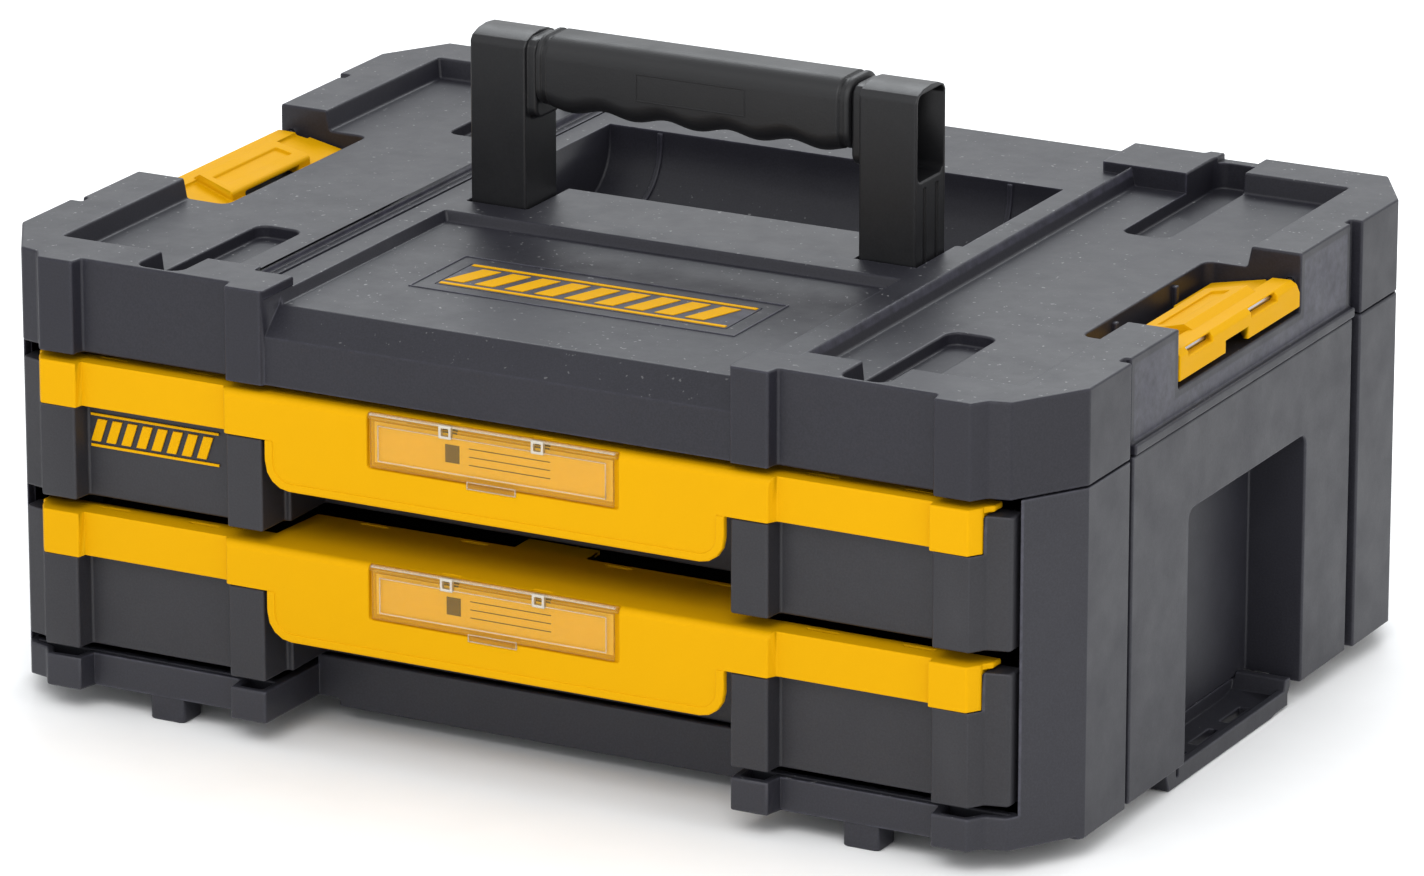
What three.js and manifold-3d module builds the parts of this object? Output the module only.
// Stackable two-drawer tool box: a moulded carcass, a fixed top cover with a folding carry handle and two
// side latches, and two shallow drawers on ball-bearing slides. Millimetres, +Z up, front towards -Y. The
// origin is on the ground under the middle of the box.
import * as THREE from "three";
import { mergeVertices } from "three/addons/utils/BufferGeometryUtils.js";
import Module from "manifold-3d";

const wasm = await Module();
wasm.setup();

// ---------------------------------------------------------------- driving dimensions
const HALF_WIDTH = 220;
const BACK = 165.5;
const FRONT = -164.3; // front plane of the pillars and corner ribs
const TRIM_FACE = FRONT - 0.7;
const GAP = 0.3; // left between pieces that touch
const SKIN = 3; // moulded wall

const FOOT_TOP = 9.5;
const SIDE_FOOT = 8.3; // the sides reach a little lower than the front
const BASE_TOP = 22;
const LID_BOTTOM = 140;
const RIM = 176; // top of the stacking rims
const LAND = 172; // top of the middle of the cover
const FLOOR = 168; // troughs and front panel of the cover
const CHANNEL = 163; // channels that take the feet of a box above

const PILLAR = [96.5, 111.5]; // inner pillars, distance from the middle
const RIB = [176.5, 191]; // corner ribs
const SIDE_FRONT = -128.5; // where the side walls start behind the front corners
const SIDE_BACK = 138.8;
const GROOVES = [[-94.5, -90], [100.5, 105.5]]; // vertical grooves in the sides
const LATCH_BAY = [-50, 56];
const GRIP_RECESS = [-42, 60];
const FOOT_X = [137, 152];

const DRAWER_PITCH = 58;
const DRAWER_FLOORS = { lower: 26, upper: 26 + DRAWER_PITCH };
const DRAWER_BACK = 145;
const TRAY_HALF = 180.5;
const TRAY_HEIGHT = 49;
const TRIM_TOP = 53; // above the drawer's underside
const TRIM_BOTTOM = 36;
const PULL_BOTTOM = 17.6;
const PULL_HALF = 94.5;
const RECESS_BACK = -124; // back of the finger space behind each pull

const SLIDE_HEIGHT = 24; // slide centre above the drawer's underside
const SLIDE_Y = [-138, 142];
const MOUNT_X = 193; // inner face of the slide mounts
const SLIDE_SCREWS_Y = [-118, 90];

const HANDLE_Y = -1;
const HANDLE_PIVOT_Z = 159.5;
const HANDLE_TOP = 238.5;
const LEG = [70, 93.5];
const LEG_HALF_DEPTH = 12.2;
const GRIP_BOTTOM = 209.5;

const LATCH_PIVOT = [213, 164.5];
const LATCH_PIN = 1.5; // radii
const LATCH_BORE = 1.6;
const HANDLE_PIN = 4;
const HANDLE_BORE = 4.15;

// ---------------------------------------------------------------- solids
const toSolid = (geometry) => {
  const bare = geometry.index ? geometry.toNonIndexed() : geometry.clone();
  const position = new THREE.BufferGeometry().setAttribute("position", bare.getAttribute("position"));
  const merged = mergeVertices(position, 1e-4);
  return new wasm.Manifold(new wasm.Mesh({
    numProp: 3,
    vertProperties: merged.attributes.position.array,
    triVerts: new Uint32Array(merged.index.array),
  }));
};

const join = (...solids) => solids.flat().reduce((all, next) => all.add(next));
const cut = (solid, ...tools) => tools.flat().reduce((left, tool) => left.subtract(tool), solid);

const block = (x0, x1, y0, y1, z0, z1) => toSolid(
  new THREE.BoxGeometry(Math.abs(x1 - x0), Math.abs(y1 - y0), Math.abs(z1 - z0))
    .translate((x0 + x1) / 2, (y0 + y1) / 2, (z0 + z1) / 2));

// A block whose top face is larger than its bottom by grow on every side, as a moulded pocket has.
const pocket = (x0, x1, y0, y1, z0, z1, grow) => {
  const box = new THREE.BoxGeometry(x1 - x0, y1 - y0, z1 - z0);
  const p = box.attributes.position;
  for (let i = 0; i < p.count; i++) {
    const [x, y] = [p.getX(i), p.getY(i)];
    if (p.getZ(i) > 0) p.setXY(i, x + Math.sign(x) * grow, y + Math.sign(y) * grow);
  }
  return toSolid(box.translate((x0 + x1) / 2, (y0 + y1) / 2, (z0 + z1) / 2));
};

const extrude = (points, depth) => new THREE.ExtrudeGeometry(
  new THREE.Shape(points.map(([a, b]) => new THREE.Vector2(a, b))), { depth, bevelEnabled: false });

// Prisms: points are (x, y), (y, z) or (x, z).
const prismZ = (points, z0, z1) => toSolid(extrude(points, z1 - z0).translate(0, 0, z0));
const ALONG_X = new THREE.Matrix4().set(0, 0, 1, 0, 1, 0, 0, 0, 0, 1, 0, 0, 0, 0, 0, 1);
const prismX = (points, x0, x1) => toSolid(
  extrude(points, x1 - x0).applyMatrix4(ALONG_X).translate(x0, 0, 0));
const prismY = (points, y0, y1) => toSolid(
  extrude(points, y1 - y0).rotateX(Math.PI / 2).translate(0, y1, 0));

const rodX = (r, x0, x1, y, z, sides = 16) => toSolid(
  new THREE.CylinderGeometry(r, r, x1 - x0, sides).rotateZ(Math.PI / 2).translate((x0 + x1) / 2, y, z));
const rodY = (r, x, y0, y1, z, sides = 16) => toSolid(
  new THREE.CylinderGeometry(r, r, y1 - y0, sides).translate(x, (y0 + y1) / 2, z));
const rodZ = (r, x, y, z0, z1, sides = 16) => toSolid(
  new THREE.CylinderGeometry(r, r, z1 - z0, sides).rotateX(Math.PI / 2).translate(x, y, (z0 + z1) / 2));

// The mirror image across the plane x = 0.
const mirrored = (solid) => {
  const mesh = solid.getMesh();
  const v = Float32Array.from(mesh.vertProperties, (value, i) => (i % mesh.numProp === 0 ? -value : value));
  const t = Uint32Array.from(mesh.triVerts);
  for (let i = 0; i < t.length; i += 3) [t[i + 1], t[i + 2]] = [t[i + 2], t[i + 1]];
  return new wasm.Manifold(new wasm.Mesh({ numProp: mesh.numProp, vertProperties: v, triVerts: t }));
};
const both = (solid) => join(solid, mirrored(solid));

// A closed outline from its right half, which runs from the front middle to the back middle.
const symmetric = (half) => {
  const left = half.filter(([x]) => x > 0).map(([x, y]) => [-x, y]).reverse();
  return [...half, ...left];
};

// The outline moved inwards by d, corner by corner.
const inset = (points, d) => {
  const area = points.reduce((sum, [x, y], i) => {
    const [nx, ny] = points[(i + 1) % points.length];
    return sum + x * ny - nx * y;
  }, 0);
  const side = Math.sign(area) * d;
  return points.map((p, i) => {
    const before = points[(i + points.length - 1) % points.length];
    const after = points[(i + 1) % points.length];
    const edge = ([ax, ay], [bx, by]) => {
      const length = Math.hypot(bx - ax, by - ay);
      return [(bx - ax) / length, (by - ay) / length];
    };
    const [ux, uy] = edge(before, p);
    const [vx, vy] = edge(p, after);
    const turn = ux * vy - uy * vx;
    if (Math.abs(turn) < 1e-6) return [p[0] - uy * side, p[1] + ux * side];
    const dot = ux * vx + uy * vy;
    const along = (side * (1 - dot)) / turn;
    return [p[0] - uy * side + ux * -along, p[1] + ux * side + uy * -along];
  });
};

// A rectangle with round corners, as points.
const roundRect = (a0, a1, b0, b1, r, steps = 4) => {
  const corner = (ca, cb, start) => Array.from({ length: steps + 1 }, (_, i) => {
    const t = start + (i / steps) * (Math.PI / 2);
    return [ca + r * Math.cos(t), cb + r * Math.sin(t)];
  });
  return [
    ...corner(a1 - r, b1 - r, 0), ...corner(a0 + r, b1 - r, Math.PI / 2),
    ...corner(a0 + r, b0 + r, Math.PI), ...corner(a1 - r, b0 + r, 1.5 * Math.PI),
  ];
};

// ---------------------------------------------------------------- materials
const finish = (color, roughness, metalness = 0, opacity = 1) => new THREE.MeshStandardMaterial({
  color, roughness, metalness, opacity, transparent: opacity < 1,
});
const MATERIALS = {
  charcoal: finish(0x35363b, 0.5),
  black: finish(0x1d1d20, 0.6),
  yellow: finish(0xf9b50b, 0.42),
  steel: finish(0xb9bcc0, 0.3, 1),
  clear: finish(0xffe2b0, 0.08, 0, 0.35),
  card: finish(0xf7c45f, 0.7),
};

const box = new THREE.Group();
const add = (name, solid, material) => {
  const mesh = solid.getMesh();
  const geometry = new THREE.BufferGeometry();
  const n = mesh.numProp;
  const v = new Float32Array(mesh.numVert * 3);
  for (let i = 0; i < mesh.numVert; i++) v.set(mesh.vertProperties.subarray(i * n, i * n + 3), i * 3);
  geometry.setAttribute("position", new THREE.BufferAttribute(v, 3));
  geometry.setIndex(new THREE.BufferAttribute(Uint32Array.from(mesh.triVerts), 1));
  const part = new THREE.Mesh(geometry, MATERIALS[material]);
  part.name = name;
  box.add(part);
};

// ---------------------------------------------------------------- shared outlines
const CORNER_FRONT = [[RIB[0], FRONT], [RIB[1], FRONT], [195, FRONT + 6], [203, FRONT + 8]];
const [CORNER_X, CORNER_Y] = CORNER_FRONT[CORNER_FRONT.length - 1];
// How far out the sloping face between the front corner and the side wall is at the depth y.
const cornerFace = (y) => CORNER_X + ((HALF_WIDTH - CORNER_X) * (y - CORNER_Y)) / (SIDE_FRONT - CORNER_Y);
const SIDE_AND_BACK = [
  [HALF_WIDTH, SIDE_FRONT], [HALF_WIDTH, SIDE_BACK], [204, BACK], [130, BACK], [129, BACK - 3], [0, BACK - 3],
];

// The front of a part, from the middle outwards: a centre at middleY, the pillar, a panel and the rib.
const frontOutline = (middleY, panelY) => [
  [0, middleY], [PILLAR[0] - 1, middleY], [PILLAR[0], FRONT], [PILLAR[1], FRONT], [PILLAR[1] + 1, panelY],
  [RIB[0] - 1, panelY], ...CORNER_FRONT,
];

// ---------------------------------------------------------------- top cover
const LID_PANEL_Y = FRONT + 5.5;
const FASCIA_Y = FRONT + 2;
const TROUGH = { x: [113.5, 195.5], y: [-135, 142.5] };
const WELL = { half: 97.5, y: [18, 103.5], floor: 145.5 };
const LEG_SLOT = [LEG[0] - 1.2, LEG[1] + 1.2];
const SCREW_SPOTS = [[205.5, -121], [203.7, 142.6]];

const lidOutline = symmetric([...frontOutline(FASCIA_Y, LID_PANEL_Y), ...SIDE_AND_BACK]);

// The hollow that the folded handle lies in, with a scooped back so that fingers reach round the grip.
const handleWell = () => {
  const [y0, y1] = WELL.y;
  const scoop = 22;
  const arc = Array.from({ length: 9 }, (_, i) => {
    const t = (i / 8) * (Math.PI / 2);
    return [y1 - scoop + scoop * Math.sin(t), WELL.floor + scoop - scoop * Math.cos(t)];
  });
  const sideOn = [[y0, RIM + 1], [y0, WELL.floor + 4], [y0 + 4, WELL.floor], ...arc, [y1, RIM + 1]];
  const well = prismX(sideOn, -WELL.half, WELL.half);
  const slot = block(...LEG_SLOT, HANDLE_Y - LEG_HALF_DEPTH - 1.3, y0 + 6, WELL.floor, RIM + 1);
  return join(well, both(slot));
};

// Channels in the troughs for the feet of a box standing on this one.
const footChannels = () => {
  const [x0, x1] = [FOOT_X[0] - 2, FOOT_X[1] + 2];
  const front = prismZ(roundRect(x0, x1, -156.5, -67, 5), CHANNEL, RIM + 1);
  const rear = prismZ(roundRect(x0, x1, 75, BACK - 4.5, 5), CHANNEL, RIM + 1);
  const notch = block(x0 + 1, x1 - 1, BACK - 8, BACK + 1, RIM - 2.5, RIM + 1);
  return both(join(front, rear, notch));
};

const latchBay = () => both(prismZ(roundRect(179, HALF_WIDTH + 10, ...LATCH_BAY, 4), 153.5, RIM + 1));

// What the cover's top surface loses, from the rims down.
const lidTopCuts = () => {
  const middle = block(-PILLAR[1] - 0.5, PILLAR[1] + 0.5, FRONT + 23, BACK + 1, LAND, RIM + 1);
  const betweenPillars = block(-PILLAR[0] + 1, PILLAR[0] - 1, FRONT - 1, FRONT + 24, LAND, RIM + 1);
  const frontPanel = pocket(-PILLAR[0] + 2.5, PILLAR[0] - 2.5, FRONT - 20, -31, FLOOR, LAND + 0.5, 2);
  const slopeSide = [
    [FASCIA_Y - 1, 157.5], [FASCIA_Y + 11, FLOOR], [FASCIA_Y + 11, RIM], [FASCIA_Y - 1, RIM]];
  const slope = prismX(slopeSide, -PILLAR[0] + 1, PILLAR[0] - 1);
  const trough = pocket(...TROUGH.x, ...TROUGH.y, FLOOR, RIM + 1, 1.8);
  const rearBlock = block(100, FOOT_X[0] - 2, 133, BACK + 1, FLOOR - 1, RIM);
  const shallow = cut(join(middle, both(trough)), both(rearBlock));
  const ridgeLine = both(block(107, 108.4, -134, 131, LAND - 1, LAND + 1));
  return [shallow, betweenPillars, frontPanel, slope, ridgeLine];
};

const BADGE = { x: [-58, 62], y: [-102.5, -74.5] };

const lidSides = () => {
  const [x0, x1] = [HALF_WIDTH - 5, HALF_WIDTH + 1];
  const panel = block(x0 + 2.5, x1, GROOVES[0][1], GROOVES[1][0], LID_BOTTOM + 4, RIM + 1);
  const grooves = GROOVES.map((groove) => block(x0, x1, ...groove, LID_BOTTOM - 1, RIM + 1));
  return both(join(panel, grooves));
};

// The space inside the moulding, open below. Each block keeps the wall round one shape cut from above.
const lidInside = () => {
  const z1 = LID_BOTTOM;
  const whole = prismZ(inset(lidOutline, SKIN), z1 - 1, RIM - SKIN);
  const [slotFront, slotBack] = [HANDLE_Y - LEG_HALF_DEPTH - 4, WELL.y[0]];
  const overMiddle = block(-112, 112, FRONT, BACK, LAND - SKIN, RIM);
  const overPanel = block(-97, 97, FRONT, -27, FLOOR - SKIN, RIM);
  const overTrough = block(111, 198, -138, 146, FLOOR - SKIN, RIM);
  const slopeBack = FASCIA_Y + 13;
  const fascia = prismX(
    [[-170, 153], [FASCIA_Y + SKIN, 157], [slopeBack, FLOOR - SKIN], [slopeBack, RIM], [-170, RIM]], -97, 97);
  const well = block(-WELL.half - SKIN, WELL.half + SKIN, WELL.y[0] - SKIN, WELL.y[1] + SKIN, z1, RIM);
  const slot = block(LEG_SLOT[0] - SKIN, LEG_SLOT[1] + SKIN, slotFront, slotBack, z1, RIM);
  const bay = block(176, HALF_WIDTH, LATCH_BAY[0] - SKIN, LATCH_BAY[1] + SKIN, 150.5, RIM);
  const channels = [[FRONT, -64], [72, BACK]].map(
    ([y0, y1]) => block(FOOT_X[0] - 5, FOOT_X[1] + 5, y0, y1, CHANNEL - SKIN, RIM));
  const grooves = GROOVES.map(([a, b]) => block(HALF_WIDTH - 8, HALF_WIDTH, a - SKIN, b + SKIN, z1, RIM));
  const rearBlock = block(98, 134, 131, BACK, FLOOR - SKIN, RIM);
  const posts = SCREW_SPOTS.map(([x, y]) => rodZ(5, x, y, z1, RIM));
  const sides = both(join(overTrough, slot, bay, channels, grooves, rearBlock, posts));
  return cut(whole, overMiddle, overPanel, fascia, well, sides);
};

const makeLid = () => {
  const [px, pz] = LATCH_PIVOT;
  const slotBore = rodX(HANDLE_BORE, LEG_SLOT[0] - 2.6, LEG_SLOT[1] + 2.6, HANDLE_Y, HANDLE_PIVOT_Z);
  const latchBore = rodY(LATCH_BORE, px, LATCH_BAY[0] - 2.6, LATCH_BAY[1] + 2.6, pz);
  const screwBores = SCREW_SPOTS.map(([x, y]) => rodZ(1.85, x, y, LID_BOTTOM - 1, 153, 12));
  const [[bx0, bx1], [by0, by1]] = [BADGE.x, BADGE.y];
  const badgeSeat = block(bx0 - GAP, bx1 + GAP, by0 - GAP, by1 + GAP, FLOOR - 0.9, RIM);
  return cut(prismZ(lidOutline, LID_BOTTOM, RIM), lidTopCuts(), handleWell(), footChannels(), latchBay(),
    lidSides(), lidInside(), both(join(slotBore, latchBore, screwBores)), badgeSeat);
};

// ---------------------------------------------------------------- carcass
const JAMB = 205; // half width of the drawer opening
const BODY_TOP = LID_BOTTOM - 0.6;
const BASE_MIDDLE_Y = RECESS_BACK - 3;
const bodyOutline = symmetric([
  [0, BASE_MIDDLE_Y], [PILLAR[0], BASE_MIDDLE_Y], [PILLAR[0] + 1, FRONT + 12],
  [cornerFace(FRONT + 12), FRONT + 12], ...SIDE_AND_BACK]);
const baseOutline = symmetric([...frontOutline(BASE_MIDDLE_Y, FRONT + 8.5), ...SIDE_AND_BACK]);

// The hollow in each side where a hand takes hold, open to the outside and below.
const gripRecess = () => prismX(roundRect(...GRIP_RECESS, -10, 105.5, 4), MOUNT_X + SKIN, HALF_WIDTH + 1);

// The lip across the foot of each grip recess, which the latch of a box below hooks on: a slotted ledge with
// a small upright edge, a hook at the back, and a web inside that joins it to the carcass's underside.
const makeLockLip = () => {
  const [inner, outer] = [MOUNT_X + 0.2, HALF_WIDTH - SKIN];
  const [start, top] = [GRIP_RECESS[0], SIDE_FOOT - GAP];
  const sideOn = [[start - 12, top], [start - 9, 0.3], [38, 0.3], [50, 2], [55, 8], [55, 11.5], [51, 11.5],
    [49, 5.5], [40, 3.8], [start - 3, 3.8], [start - 3, top]];
  const ledge = prismX(sideOn, inner, outer);
  const edge = block(outer - 3, outer, start - 1, 53, 1, 7.5);
  const web = block(inner, inner + 2.4, start - 11, 50, 2.5, FOOT_TOP - GAP);
  const slots = [6, 33, 60].map((y) => block(205, 208.8, start + y, start + y + 18, -1, 5));
  const underWall = block(inner - 1, MOUNT_X + SKIN + GAP, 48, 56, FOOT_TOP - GAP, 12);
  return cut(join(ledge, edge, web), slots, underWall);
};

const slideBosses = () => Object.values(DRAWER_FLOORS).flatMap((floor) => SLIDE_SCREWS_Y.map(
  (y) => rodX(5, MOUNT_X, 206, y, floor + SLIDE_HEIGHT, 12)));

const feet = () => {
  const foot = (y0, y1) => prismZ(roundRect(FOOT_X[0], FOOT_X[1], y0, y1, 2, 2), 0, FOOT_TOP + 1);
  return both(join(foot(-155.5, -142), foot(138, 152)));
};

// An open tray shape: the outline from z0 to z1, hollowed to a wall of SKIN from the height h up.
const hollowed = (outline, z0, z1, h) => cut(
  prismZ(outline, z0, z1), prismZ(inset(outline, SKIN), h, z1 + 1));

// The thickenings inside the right wall: round the grip recess, the slide mounts and the screw posts.
const sideBlocks = () => {
  const [x0, x1] = [MOUNT_X, HALF_WIDTH - 1];
  const recess = block(x0, x1, GRIP_RECESS[0] - SKIN, GRIP_RECESS[1] + SKIN, FOOT_TOP, 108.5);
  const webs = SLIDE_SCREWS_Y.map((y) => block(x0, x1, y - 1.3, y + 1.3, FOOT_TOP + 1, 134));
  const grooves = GROOVES.map(([a, b]) => block(HALF_WIDTH - 8, x1, a - SKIN, b + SKIN, FOOT_TOP, BODY_TOP));
  const posts = SCREW_SPOTS.map(([x, y]) => rodZ(6.5, x, y, FOOT_TOP, BODY_TOP));
  return join(recess, webs, grooves, posts, slideBosses());
};

// What the right wall loses: the side grooves and panel, and the bores of both kinds of screw.
const sideCuts = () => {
  const x1 = HALF_WIDTH + 1;
  const grooves = GROOVES.map((groove) => block(HALF_WIDTH - 5, x1, ...groove, 0, BODY_TOP + 1));
  const panel = block(HALF_WIDTH - 1, x1, GROOVES[0][1], GROOVES[1][0], 0, BODY_TOP + 1);
  const postBores = SCREW_SPOTS.flatMap(
    ([x, y]) => [rodZ(4.3, x, y, 0, 127), rodZ(1.85, x, y, 126, BODY_TOP + 1, 12)]);
  const slideBores = Object.values(DRAWER_FLOORS).flatMap((floor) => SLIDE_SCREWS_Y.map(
    (y) => rodX(1.65, MOUNT_X - 1, 203, y, floor + SLIDE_HEIGHT, 12)));
  return join(grooves, panel, postBores, slideBores);
};

const makeBody = () => {
  const shell = hollowed(bodyOutline, FOOT_TOP, BODY_TOP, BASE_TOP - 10);
  const base = hollowed(baseOutline, FOOT_TOP, BASE_TOP, BASE_TOP - 10);
  const sill = block(-PILLAR[0] + 0.5, PILLAR[0] - 0.5, BASE_MIDDLE_Y, BASE_MIDDLE_Y + SKIN, FOOT_TOP,
    DRAWER_FLOORS.lower - GAP);
  const keel = block(-87, 87, -127, 120, 6.5, FOOT_TOP + 1);
  const keelHollow = block(-84, 84, -124, 117, 5, FOOT_TOP + 0.1);
  const mouth = block(-JAMB, JAMB, FRONT - 5, FRONT + 16.5, BASE_TOP, BODY_TOP + 1);
  const mouthMiddle = block(-PILLAR[1], PILLAR[1], FRONT - 5, RECESS_BACK + 1, BASE_TOP, BODY_TOP + 1);
  const skirtZone = both(block(206, 221, -131, BACK + 1, 0, 20));
  const skirts = prismZ(bodyOutline, SIDE_FOOT, FOOT_TOP + 1).intersect(skirtZone);
  const widePanel = prismY(roundRect(12, 118, 20, 128, 6), BACK - 4.2, BACK + 1);
  const narrowPanel = prismY(roundRect(136, 196, 20, 128, 6), BACK - 1.2, BACK + 1);
  const backRibs = [38, 65, 92].map((x) => block(x - 1.5, x + 1.5, BACK - 5.5, BACK - 3, 20, 128));
  const opened = cut(shell, mouth, mouthMiddle);
  const whole = join(opened, base, sill, skirts, keel, both(sideBlocks()), feet());
  const losses = [keelHollow, both(join(gripRecess(), sideCuts(), widePanel, narrowPanel))];
  return join(cut(whole, losses), both(join(backRibs)));
};

// ---------------------------------------------------------------- slides
const slideParts = (floor) => {
  const z = floor + SLIDE_HEIGHT;
  // A C section: web at x0..x0+t, flanges reaching to x1, half height h.
  const channel = (x0, x1, h, t, y0, y1) => {
    const dir = Math.sign(x1 - x0);
    const web = x0 + dir * t;
    const section = [[x0, z - h], [x1, z - h], [x1, z - h + t], [web, z - h + t], [web, z + h - t],
      [x1, z + h - t], [x1, z + h], [x0, z + h]];
    return prismY(section, y0, y1);
  };
  const holes = SLIDE_SCREWS_Y.map((y) => rodX(1.9, MOUNT_X - 4, MOUNT_X + 1, y, z, 12));
  const outer = cut(channel(MOUNT_X - GAP, 183.6, 13.5, 1.2, ...SLIDE_Y), holes);
  const inner = channel(TRAY_HALF + GAP, 187.3, 8.5, 1.2, SLIDE_Y[0] + 2, SLIDE_Y[1] - 2);
  const cageY = [-30, 46];
  const cage = channel(189, 184.4, 10.9, 0.9, ...cageY);
  const balls = [-1, 1].flatMap((side) => [0, 1, 2].map((i) => toSolid(
    new THREE.IcosahedronGeometry(1.6, 0).translate(186, cageY[0] + 12 + i * 26, z + side * 10.4))));
  const screws = SLIDE_SCREWS_Y.map((y) => join(
    rodX(3.1, 189.6, MOUNT_X - 2, y, z, 12), rodX(1.3, 191, 201.5, y, z, 10)));
  return { outer, inner, cage: join(cage, balls), screws };
};

// ---------------------------------------------------------------- drawers
const drawerFront = frontOutline(RECESS_BACK, FRONT + 8);
const WING = [[203.5, FRONT + 9.8], [203.5, -147]];

const makeTray = (floor) => {
  const frontShape = symmetric([...drawerFront, ...WING, [177, -147], [177, -118], [0, -118]]);
  const lowerFront = prismZ(frontShape, floor, floor + TRIM_BOTTOM - GAP);
  const behindTrim = block(0, 188.9, FRONT - 5, 0, floor, floor + 60);
  const upperFront = prismZ(inset(frontShape, 2.4), floor + TRIM_BOTTOM - 1, floor + TRIM_TOP - 2.8)
    .intersect(both(behindTrim));
  const wingOutline = [[194.1, FRONT + 4.8], [195, FRONT + 6], [203, FRONT + 8], ...WING, [194.1, -147]];
  const wing = both(prismZ(wingOutline, floor, floor + TRIM_TOP - 3.2));
  const tub = block(-TRAY_HALF, TRAY_HALF, -148, DRAWER_BACK, floor, floor + TRAY_HEIGHT);
  const tubFront = both(block(PILLAR[0] - 3, TRAY_HALF, -149, -117, floor, floor + TRAY_HEIGHT));
  const tubCore = cut(tub, block(-PILLAR[0] + 3, PILLAR[0] - 3, -150, RECESS_BACK, floor - 1, floor + 60));
  const wall = 2.4;
  const inside = symmetric([[0, RECESS_BACK + wall], [PILLAR[0] + 1, RECESS_BACK + wall],
    [PILLAR[0] + 3, FRONT + 5], [PILLAR[1] - 3, FRONT + 5], [PILLAR[1] - 2, FRONT + 13],
    [TRAY_HALF - wall, FRONT + 13], [TRAY_HALF - wall, DRAWER_BACK - wall], [0, DRAWER_BACK - wall]]);
  const hollow = prismZ(inside, floor + wall, floor + 60);
  const wingHollow = both(block(183.5, 201.5, FRONT + 11.5, -146, floor + 2.5, floor + TRIM_TOP - 6));
  const whole = join(lowerFront, upperFront, wing, tubCore, tubFront);
  return join(cut(whole, hollow, wingHollow), dividerRibs(floor));
};

// Paired ribs on the walls that the dividers drop between.
const dividerRibs = (floor) => {
  const [z0, z1] = [floor + 1, floor + 44];
  const [front, rear] = [[RECESS_BACK + 1, RECESS_BACK + 5.5], [DRAWER_BACK - 5.5, DRAWER_BACK - 1]];
  const forShort = [55.5, 60.3].flatMap((x) => [front, rear].map((ys) => block(x, x + 2, ...ys, z0, z1)));
  const forLong = [7, 11.8].map((y) => block(TRAY_HALF - 5.5, TRAY_HALF - 1, y, y + 2, z0, z1));
  return both(join(forShort, forLong));
};

const LABEL = { half: 51, z: [32.6, 53.8] }; // heights above the drawer's underside
const LABEL_HINGES = [-19, 19];
const LABEL_AXIS = [TRIM_FACE + 0.9, 51.8];

// The coloured trim: a front band over the drawer's top edge that deepens into a pull across the middle.
const makeTrim = (floor) => {
  const t = 2.6;
  const face = TRIM_FACE;
  const [zTop, zBand, zPull] = [floor + TRIM_TOP, floor + TRIM_BOTTOM, floor + PULL_BOTTOM];
  const strip = face + 3.6;
  const outline = (d) => [
    [0, face + d], [PILLAR[1] + 0.3, face + d], [PILLAR[1] + 2.3 - d * 0.5, strip + d],
    [RIB[0] - 1.6 + d * 0.2, strip + d], [RIB[0] - 1 + d * 0.2, face + d], [190.6 - d * 0.6, face + d]];
  const flange = [
    [193.8, face + 4.8], [193.8, -158.6], [194.8, -156.8], [196.6, -155.4], [196.8, -149.5],
    [99.2, -149.5], [97.2, -122.5]];
  const solid = symmetric([...outline(0), ...flange, [0, -122.5]]);
  const behind = symmetric([...outline(t), [193.8 - t, -158], [193.8 - t, -120], [0, -120]]);
  const band = cut(prismZ(solid, zBand, zTop), prismZ(behind, zBand - 1, zTop - 2.2));
  const bandEnds = both(block(193.2, 202, -158.5, -140, zBand - 1, zTop - 2.2));
  const tongue = block(-15, 15, -123, -111, zTop - 2.2, zTop);
  const pullFace = prismY(roundRect(-PULL_HALF, PULL_HALF, zPull, zTop - 4, 10), face, face + t);
  const pullCheck = both(block(PULL_HALF, 100, -166, -161, zPull - 5, zBand));
  const [rim, rimTop] = [PULL_HALF - 3.2, zTop + 30];
  const rimOut = prismY(roundRect(-PULL_HALF, PULL_HALF, zPull, rimTop, 10), face - 0.5, face + 0.5);
  const rimIn = prismY(roundRect(-rim, rim, zPull + 3.2, rimTop - 3, 7), face - 1, face + 1);
  const aboveRim = block(-100, 100, face - 2, face + 2, zBand, rimTop + 10);
  const edge = 3;
  const quarter = Array.from({ length: 5 }, (_, i) => (i / 4) * (Math.PI / 2)).map(
    (a) => [face + edge - edge * Math.cos(a), zTop - edge + edge * Math.sin(a)]);
  const edgeSide = [[face - 1, zTop + 1], [face - 1, zTop - edge], ...quarter, [face + edge, zTop + 1]];
  const roundCut = prismX(edgeSide, -PILLAR[1] - 1.2, PILLAR[1] + 1.2);
  const seatHalf = LABEL.half + 0.6;
  const seat = block(-seatHalf, seatHalf, face - 1, face + 1.8, floor + LABEL.z[0] - 0.6, zTop + 1);
  const barGroove = rodX(1.9, -seatHalf, seatHalf, LABEL_AXIS[0], floor + LABEL_AXIS[1], 12);
  const hingeSlots = LABEL_HINGES.map((x) => block(x - 4, x + 4, face - 1, face + 4.5, zTop - 5.2, zTop + 1));
  const slotTop = (x0, x1, y) => block(x0, x1, y, y + 1.4, zTop - 3, zTop + 1);
  const clipSlots = both(join([122, 160].map((x) => slotTop(x, x + 12, -154))));
  const pullSlots = both(join([30, 72].map((x) => slotTop(x - 5.5, x + 5.5, -126))));
  return cut(join(cut(join(band, tongue, pullFace), bandEnds, pullCheck), cut(rimOut, rimIn, aboveRim)),
    roundCut, seat, barGroove, hingeSlots, clipSlots, pullSlots);
};

const makeCard = (floor) => block(-LABEL.half + 2, LABEL.half - 2, TRIM_FACE + 1.1, TRIM_FACE + 1.5,
  floor + LABEL.z[0] + 1.5, floor + LABEL.z[1] - 4.2);

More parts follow.
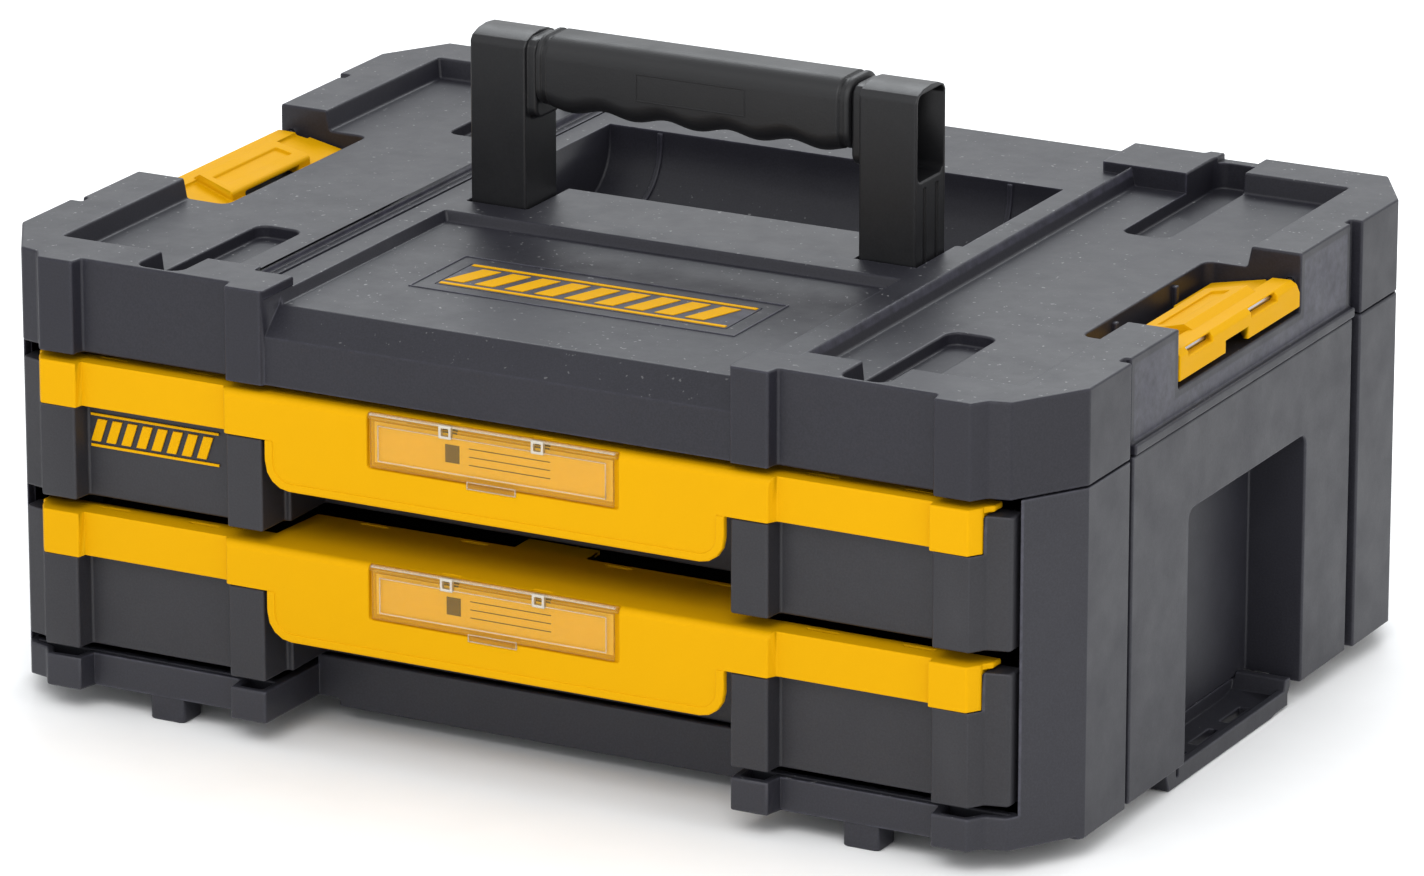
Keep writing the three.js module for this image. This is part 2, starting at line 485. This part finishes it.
// The clear cover: a plate with a raised border, a thumb tab and two hinge knuckles at its top edge.
const makeWindow = (floor) => {
  const [z0, z1] = [floor + LABEL.z[0], floor + LABEL.z[1]];
  const [ay, az] = [LABEL_AXIS[0], floor + LABEL_AXIS[1]];
  const outer = TRIM_FACE - 0.5;
  const plate = block(-LABEL.half + 1, LABEL.half - 1, outer, outer + 1.2, z0, az + 0.5);
  const dish = block(-LABEL.half + 4, LABEL.half - 4, outer - 1, outer + 0.5, z0 + 2.4, az - 3);
  const bar = rodX(1.35, -LABEL.half, LABEL.half, ay, az, 12);
  const tab = block(-10, 10, outer, outer + 0.45, z0 - 2.4, z0 + 1);
  const knuckles = LABEL_HINGES.map((x) => rodX(1.4, x - 3, x + 3, ay, az, 12));
  return join(cut(plate, dish), bar, tab, knuckles);
};

const DIVIDER = { height: 42, thick: 1.8 };

// The long divider, with a pair of ribs for each row of short ones.
const makeLongDivider = (floor) => {
  const [z0, z1] = [floor + 2.4 + GAP, floor + DIVIDER.height];
  const board = block(-TRAY_HALF + 2.8, TRAY_HALF - 2.8, 9.5, 9.5 + DIVIDER.thick, z0, z1);
  return join(board, both(join([55.5, 60.3].map((x) => block(x, x + 2, 7, 13.8, z0, z1)))));
};

const SHORT_SPANS = { front: [RECESS_BACK + 2.8, 9.2], rear: [11.6, DRAWER_BACK - 2.8] };
const makeShortDivider = (floor, span) => block(58, 58 + DIVIDER.thick, ...span, floor + 2.4 + GAP,
  floor + DIVIDER.height);

// ---------------------------------------------------------------- handle
// The side of a leg: a round foot about the pivot and a crowned top.
const legProfile = () => {
  const d = LEG_HALF_DEPTH;
  const foot = Array.from({ length: 9 }, (_, i) => {
    const t = Math.PI + (i / 8) * Math.PI;
    return [HANDLE_Y + d * Math.cos(t), HANDLE_PIVOT_Z + d * Math.sin(t)];
  });
  const crown = Array.from({ length: 7 }, (_, i) => {
    const t = (i / 6) * Math.PI;
    return [HANDLE_Y + (d - 5) * Math.cos(t) + Math.sign(Math.cos(t)) * 5 * Math.abs(Math.cos(t)),
      HANDLE_TOP - 4.5 + 4.5 * Math.sin(t)];
  });
  return [...foot, ...crown];
};

// Two fluted legs, each with a socket in its outer face and a shoulder inside, and the core of the grip.
const makeHandleFrame = () => {
  const d = LEG_HALF_DEPTH;
  const leg = prismX(legProfile(), LEG[0], LEG[1]);
  const around = (half, z0, z1, r) => roundRect(HANDLE_Y - half, HANDLE_Y + half, z0, z1, r, 3);
  const socket = prismX(around(d - 1.6, 203, HANDLE_TOP - 2.4, 3), LEG[0] + 2.5, LEG[1] + 1);
  const fluting = [-6.5, 3.5].map(
    (y) => block(LEG[1] - 0.8, LEG[1] + 1, HANDLE_Y + y, HANDLE_Y + y + 3, 164, 200));
  const shoulder = prismX(around(d - 1.5, GRIP_BOTTOM - 3.5, HANDLE_TOP - 1.5, 5), LEG[0] - 4, LEG[0] + 1);
  const core = prismX(around(7, GRIP_BOTTOM + 7, HANDLE_TOP - 7, 4), -LEG[0] - 1, LEG[0] + 1);
  const bore = rodX(HANDLE_BORE, LEG[0] - 1, LEG[1] + 1, HANDLE_Y, HANDLE_PIVOT_Z);
  return join(both(join(cut(leg, socket, fluting, bore), shoulder)), core);
};

// The soft grip: a rounded sleeve round the core, with finger waves along its underside.
const makeHandleGrip = () => {
  const d = LEG_HALF_DEPTH + 0.3;
  const half = LEG[0] - 4 - GAP;
  const waves = 5;
  const under = Array.from({ length: 41 }, (_, i) => {
    const x = -half + (2 * half * i) / 40;
    return [x, GRIP_BOTTOM + 1.1 - 1.1 * Math.cos((x / half) * Math.PI * waves)];
  });
  const around = (side, z0, z1, r) => roundRect(HANDLE_Y - side, HANDLE_Y + side, z0, z1, r, 5);
  const body = prismX(around(d, GRIP_BOTTOM, HANDLE_TOP + 0.2, 8), -half, half);
  const [front, back] = [HANDLE_Y - 20, HANDLE_Y + 20];
  const envelope = prismY([...under, [half, HANDLE_TOP + 5], [-half, HANDLE_TOP + 5]], front, back);
  const ring = block(half - 4.5, half - 2.5, front, back, 200, 245);
  const ringInside = prismX(around(d - 1.2, GRIP_BOTTOM + 1.6, HANDLE_TOP - 1, 7), half - 5, half);
  const hole = around(7 + GAP, GRIP_BOTTOM + 7 - GAP, HANDLE_TOP - 7 + GAP, 4);
  return cut(body.intersect(envelope), both(cut(ring, ringInside)), prismX(hole, -half - 1, half + 1));
};

const makeHandlePin = () => rodX(HANDLE_PIN, LEG_SLOT[0] - 2.3, LEG_SLOT[1] + 2.3, HANDLE_Y, HANDLE_PIVOT_Z);

// ---------------------------------------------------------------- side latches
// A barrel on the pin with a short outer wall, a leaf that slopes down inwards from it, and a dished thumb
// pad on the leaf. The leaf is cut away under the pad's inner edge, so that a fingertip gets hold of it, and
// a notch in the wall clears the lip of a box above.
const makeLatch = () => {
  const [px, pz] = LATCH_PIVOT;
  const [y0, y1] = [LATCH_BAY[0] + 1.2, LATCH_BAY[1] - 1.2];
  const barrel = prismY([[217.6, 155.8], [217.6, 165.2], [215.6, 167.2], [208.2, 166.9], [208.2, 161.5],
    [213.5, 160.5], [215.4, 155.8]], y0, y1);
  const leaf = prismY([[210, 165.9], [181.5, 160.1], [181.5, 158], [210, 163.8]], y0, y1);
  const padEnd = [[210, 167], [206.8, 169], [190.2, 165.6], [189.4, 164.6], [189.4, 160.8], [210, 165]];
  const pad = prismY(padEnd, -40, 40).intersect(
    prismZ([[189, -28], [189, 30.5], [211, 32], [211, -22]], 150, 180));
  const dish = prismY([[195.2, 165.5], [202.2, 166.9], [202.8, 175], [194.6, 175]], -21, 26);
  const fingerSlot = prismY([[180, 150], [204, 150], [204, 166.2], [190, 163.4], [180, 161.4]], -18, 22);
  const roundEnd = prismX([[46, 171.5], [51, 167.3], [55.5, 161], [60, 161], [60, 176], [46, 176]], 204, 220);
  const notch = block(205, 220, -9.6, 9.6, 150, 160.4);
  const pinSlotEnd = [[px + 0.9, pz - 0.9], [px + 6, pz - 0.9], [px + 6, pz + 2.5], [px + 3.6, pz + 2.4],
    [px + 1.4, pz + 1.3]];
  const pinSlots = [[-41.7, -21.1], [12, 35.1]].map((ys) => prismY(pinSlotEnd, ...ys));
  const bore = rodY(LATCH_BORE, px, y0 - 1, y1 + 1, pz);
  return cut(join(barrel, leaf, cut(pad, dish)), roundEnd, fingerSlot, notch, pinSlots, bore);
};

const makeLatchPin = () => rodY(
  LATCH_PIN, LATCH_PIVOT[0], LATCH_BAY[0] - 2.3, LATCH_BAY[1] + 2.3, LATCH_PIVOT[1]);

const makeLidScrew = ([x, y]) => {
  const head = rodZ(3.8, x, y, 123, 126 - GAP, 12);
  const cross = [[2.4, 0.5], [0.5, 2.4]].map(([a, b]) => block(x - a, x + a, y - b, y + b, 122, 124.3));
  return cut(join(head, rodZ(1.5, x, y, 125, 151, 10)), cross);
};

// ---------------------------------------------------------------- assembly
const SIDES = { left: mirrored, right: (solid) => solid };
const ENDS = ["front", "rear"];
const [badgeX, badgeY] = [BADGE.x, BADGE.y];

add("carcass", makeBody(), "charcoal");
add("top_cover", makeLid(), "charcoal");
add("cover_badge", block(...badgeX, ...badgeY, FLOOR - 0.6, FLOOR + 0.3), "yellow");
add("handle_frame", makeHandleFrame(), "black");
add("handle_grip", makeHandleGrip(), "black");
for (const [side, place] of Object.entries(SIDES)) {
  add(`lock_lip_${side}`, place(makeLockLip()), "charcoal");
  add(`handle_pin_${side}`, place(makeHandlePin()), "steel");
  add(`latch_${side}`, place(makeLatch()), "yellow");
  add(`latch_pin_${side}`, place(makeLatchPin()), "steel");
  ENDS.forEach(
    (end, i) => add(`cover_screw_${end}_${side}`, place(makeLidScrew(SCREW_SPOTS[i])), "steel"));
}

for (const [level, floor] of Object.entries(DRAWER_FLOORS)) {
  add(`${level}_tray`, makeTray(floor), "charcoal");
  add(`${level}_trim`, makeTrim(floor), "yellow");
  add(`${level}_label_card`, makeCard(floor), "card");
  add(`${level}_label_window`, makeWindow(floor), "clear");
  add(`${level}_divider_long`, makeLongDivider(floor), "black");
  const slide = slideParts(floor);
  for (const [side, place] of Object.entries(SIDES)) {
    add(`${level}_slide_outer_${side}`, place(slide.outer), "steel");
    add(`${level}_slide_inner_${side}`, place(slide.inner), "steel");
    add(`${level}_ball_cage_${side}`, place(slide.cage), "steel");
    ENDS.forEach(
      (end, i) => add(`${level}_slide_screw_${end}_${side}`, place(slide.screws[i]), "steel"));
  }
}

// Only the upper drawer has its short dividers in; its front also carries the small badge.
const UPPER = DRAWER_FLOORS.upper;
for (const [side, place] of Object.entries(SIDES)) {
  for (const end of ENDS) {
    add(`upper_divider_${end}_${side}`, place(makeShortDivider(UPPER, SHORT_SPANS[end])), "black");
  }
}
add("drawer_badge", block(-174, -119, FRONT + 7.1, FRONT + 7.7, UPPER + 19.5, UPPER + 32.5), "yellow");

export default box;
